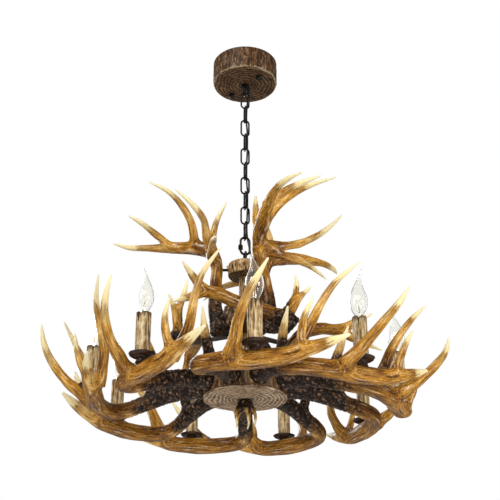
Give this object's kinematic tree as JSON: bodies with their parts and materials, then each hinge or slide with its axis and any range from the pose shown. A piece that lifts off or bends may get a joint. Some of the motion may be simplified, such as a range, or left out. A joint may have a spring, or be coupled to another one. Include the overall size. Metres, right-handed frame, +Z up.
{
  "type": "antler chandelier",
  "caption": "Round hanging chandelier of forked antlers in a ring and a branching crown, with candle lights, on a chain from a canopy.",
  "frame": {"origin": "centre of the ceiling plane, where the canopy rim and the crossbar meet the ceiling", "axes": "+Z up, along the chain and stem; +X to the right of a viewer who stands at -Y and looks along +Y"},
  "size_m": [0.8295, 0.8293, 0.8843],
  "materials": {
    "bark": "dark carved bark, satin",
    "antler": "cast resin antler, brown with pale tips",
    "log_slice": "end grain, dull",
    "black_iron": "black, semi matt",
    "zinc_steel": "zinc plated",
    "tray_rust": "dark rust brown",
    "candle": "bark look candle sleeve",
    "clear_glass": "clear lamp glass",
    "lamp_socket": "heat resistant moulding",
    "black_cord": "black cord sheath",
    "terminal": "pale moulding"
  },
  "bodies": {
    "canopy": {"canopy": "bark", "mounting_bar": "zinc_steel", "canopy_studs": "zinc_steel", "canopy_ball_nuts": "black_iron", "canopy_loop": "black_iron", "canopy_loop_nuts": "zinc_steel", "terminal_block": "terminal"},
    "first_link": {"chain_link_1": "black_iron"},
    "chain": {"chain_link_2": "black_iron", "chain_link_3": "black_iron", "chain_link_4": "black_iron", "chain_link_5": "black_iron", "chain_link_6": "black_iron", "chain_link_7": "black_iron", "chain_link_8": "black_iron", "chain_link_9": "black_iron", "chain_link_10": "black_iron", "quick_link": "black_iron", "supply_cord": "black_cord"},
    "quick_link_sleeve": {"quick_link_sleeve": "black_iron"},
    "fixture": {"cap_loop": "black_iron", "top_cap": "bark", "stem_rod": "zinc_steel", "stem_covers": "bark", "stem_nuts": "zinc_steel", "stay_rods": "black_iron", "upper_hub": "bark", "upper_spider": "zinc_steel", "lower_hub": "antler", "base_plate": "log_slice", "finial": "antler", "antler_bolts": "zinc_steel", "top_antler_1": "antler", "top_antler_2": "antler", "top_antler_3": "antler", "cross_antler_1": "antler", "cross_antler_2": "antler", "cross_antler_3": "antler", "lower_antler_1": "antler", "lower_antler_2": "antler", "lower_antler_3": "antler", "lower_antler_4": "antler", "lower_antler_5": "antler", "lower_antler_6": "antler", "lower_antler_7": "antler", "lower_antler_8": "antler", "lower_antler_9": "antler", "drip_trays": "tray_rust", "candle_sleeves": "candle", "lamp_holders": "lamp_socket", "lamp_nipples": "zinc_steel"},
    "bulb_1": {"bulb_1": "clear_glass"},
    "bulb_2": {"bulb_2": "clear_glass"},
    "bulb_3": {"bulb_3": "clear_glass"},
    "bulb_4": {"bulb_4": "clear_glass"},
    "bulb_5": {"bulb_5": "clear_glass"},
    "bulb_6": {"bulb_6": "clear_glass"},
    "bulb_7": {"bulb_7": "clear_glass"},
    "bulb_8": {"bulb_8": "clear_glass"},
    "bulb_9": {"bulb_9": "clear_glass"}
  },
  "joints": [
    {"name": "link_swing", "type": "hinge", "parent": "canopy", "child": "first_link", "pos_m": [0, 0, -0.0845], "axis": [-0.2079, 0.9781, 0], "range_deg": [-5.5, 5.5]},
    {"name": "chain_swing", "type": "hinge", "parent": "first_link", "child": "chain", "pos_m": [0, 0, -0.12206], "axis": [0.9781, 0.2079, 0], "range_deg": [-5.5, 5.5]},
    {"name": "fixture_swing", "type": "hinge", "parent": "chain", "child": "fixture", "pos_m": [0, 0, -0.5008], "axis": [0.9781, 0.2079, 0], "range_deg": [-7, 7]},
    {"name": "quick_link_sleeve_slide", "type": "slide", "parent": "chain", "child": "quick_link_sleeve", "axis": [0, 0, 1], "range_m": [0, 0.0083]},
    {"name": "bulb_1_turn", "type": "hinge", "parent": "fixture", "child": "bulb_1", "pos_m": [0.01739, -0.31101, -0.744], "axis": [0, 0, 1], "range_deg": [0, 330]},
    {"name": "bulb_2_turn", "type": "hinge", "parent": "fixture", "child": "bulb_2", "pos_m": [0.21324, -0.22707, -0.744], "axis": [0, 0, 1], "range_deg": [0, 330]},
    {"name": "bulb_3_turn", "type": "hinge", "parent": "fixture", "child": "bulb_3", "pos_m": [0.30931, -0.03688, -0.744], "axis": [0, 0, 1], "range_deg": [0, 330]},
    {"name": "bulb_4_turn", "type": "hinge", "parent": "fixture", "child": "bulb_4", "pos_m": [0.26065, 0.17057, -0.744], "axis": [0, 0, 1], "range_deg": [0, 330]},
    {"name": "bulb_5_turn", "type": "hinge", "parent": "fixture", "child": "bulb_5", "pos_m": [0.09003, 0.2982, -0.744], "axis": [0, 0, 1], "range_deg": [0, 330]},
    {"name": "bulb_6_turn", "type": "hinge", "parent": "fixture", "child": "bulb_6", "pos_m": [-0.12271, 0.28631, -0.744], "axis": [0, 0, 1], "range_deg": [0, 330]},
    {"name": "bulb_7_turn", "type": "hinge", "parent": "fixture", "child": "bulb_7", "pos_m": [-0.27804, 0.14045, -0.744], "axis": [0, 0, 1], "range_deg": [0, 330]},
    {"name": "bulb_8_turn", "type": "hinge", "parent": "fixture", "child": "bulb_8", "pos_m": [-0.30327, -0.07113, -0.744], "axis": [0, 0, 1], "range_deg": [0, 330]},
    {"name": "bulb_9_turn", "type": "hinge", "parent": "fixture", "child": "bulb_9", "pos_m": [-0.1866, -0.24943, -0.744], "axis": [0, 0, 1], "range_deg": [0, 330]}
  ]
}
